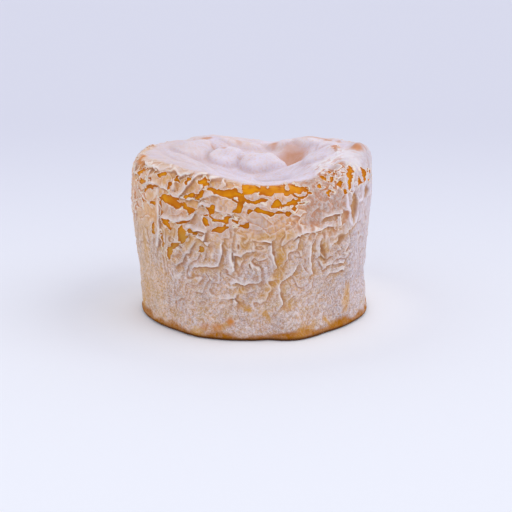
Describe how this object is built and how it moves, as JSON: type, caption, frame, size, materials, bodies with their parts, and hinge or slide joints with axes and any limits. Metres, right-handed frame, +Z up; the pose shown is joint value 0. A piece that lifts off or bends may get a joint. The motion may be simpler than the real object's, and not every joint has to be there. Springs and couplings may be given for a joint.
{
  "type": "langres cheese",
  "caption": "Small round washed-rind cheese with a sunken top, an uneven rim and a wrinkled rind.",
  "frame": {"origin": "centre of the base, on the surface that the cheese stands on", "axes": "+Z up through the hollow of the top, -Y towards the side seen in front, +X to its right"},
  "size_m": [0.0764, 0.0776, 0.0544],
  "materials": {
    "rind": "wrinkled washed rind, golden paste under a pinkish white bloom, matt with moist bare patches"
  },
  "bodies": {
    "root": {"cheese": "rind"}
  },
  "joints": []
}
